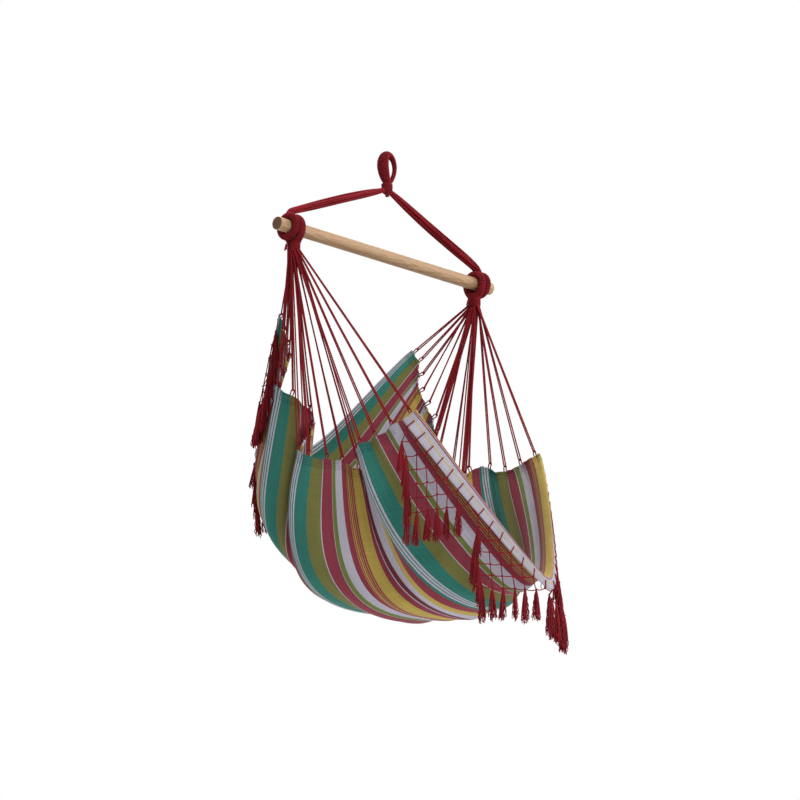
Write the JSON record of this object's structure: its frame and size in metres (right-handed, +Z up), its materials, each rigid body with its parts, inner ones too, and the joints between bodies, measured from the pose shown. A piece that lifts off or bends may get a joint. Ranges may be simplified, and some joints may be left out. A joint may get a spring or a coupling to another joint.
{
  "type": "hammock chair",
  "caption": "Hanging hammock chair: striped cloth seat with knotted fringes, slung by two fans of cords from a round wooden spreader bar on a two-leg rope yoke with a whipped eye.",
  "frame": {"origin": "inside top of the hanging eye's hole, where a hook bears", "axes": "+Z up, X along the spreader bar, the sitter faces -Y"},
  "size_m": [0.85, 0.8976, 1.4739],
  "materials": {
    "bar_wood": "sanded light hardwood, thin oil",
    "rope": "twisted and whipped crimson cotton cord",
    "cord": "twisted crimson cotton cord",
    "striped_cloth": "plain-woven cotton with teal, olive, red, mustard, green and white warp stripes",
    "fringe": "knotted crimson cotton strands"
  },
  "bodies": {
    "eye": {"hanging_eye": "rope"},
    "neck": {"neck_seizing": "rope"},
    "yoke": {"spreader_bar": "bar_wood", "yoke_leg_left": "rope", "yoke_leg_right": "rope", "yoke_ring_left": "rope", "yoke_ring_right": "rope"},
    "seat": {"fan_ring_left": "rope", "fan_ring_right": "rope", "fan_neck_left": "rope", "fan_neck_right": "rope", "hem_lace_left": "cord", "hem_lace_right": "cord", "cord_pair_left_01": "cord", "cord_pair_left_02": "cord", "cord_pair_left_03": "cord", "cord_pair_left_04": "cord", "cord_pair_left_05": "cord", "cord_pair_left_06": "cord", "cord_pair_left_07": "cord", "cord_pair_left_08": "cord", "cord_pair_left_09": "cord", "cord_pair_left_10": "cord", "cord_pair_left_11": "cord", "cord_pair_left_12": "cord", "cord_pair_left_13": "cord", "cord_pair_left_14": "cord", "cord_pair_left_15": "cord", "cord_pair_left_16": "cord", "cord_pair_left_17": "cord", "cord_pair_left_18": "cord", "cord_pair_left_19": "cord", "cord_pair_left_20": "cord", "cord_pair_right_01": "cord", "cord_pair_right_02": "cord", "cord_pair_right_03": "cord", "cord_pair_right_04": "cord", "cord_pair_right_05": "cord", "cord_pair_right_06": "cord", "cord_pair_right_07": "cord", "cord_pair_right_08": "cord", "cord_pair_right_09": "cord", "cord_pair_right_10": "cord", "cord_pair_right_11": "cord", "cord_pair_right_12": "cord", "cord_pair_right_13": "cord", "cord_pair_right_14": "cord", "cord_pair_right_15": "cord", "cord_pair_right_16": "cord", "cord_pair_right_17": "cord", "cord_pair_right_18": "cord", "cord_pair_right_19": "cord", "cord_pair_right_20": "cord", "seat_cloth": "striped_cloth", "front_fringe": "fringe", "back_fringe": "fringe"}
  },
  "joints": [
    {"name": "twist", "type": "hinge", "parent": "eye", "child": "neck", "pos_m": [0, 0, -0.09088], "axis": [0, 0, 1], "range_deg": [-45, 45], "stiffness_Nm_per_rad": 0.4},
    {"name": "swing", "type": "hinge", "parent": "neck", "child": "yoke", "pos_m": [0, 0, -0.09088], "axis": [1, 0, 0], "range_deg": [-25, 25]},
    {"name": "seat_tilt", "type": "hinge", "parent": "yoke", "child": "seat", "pos_m": [0, 0, -0.282], "axis": [1, 0, 0], "range_deg": [-20, 20]}
  ]
}
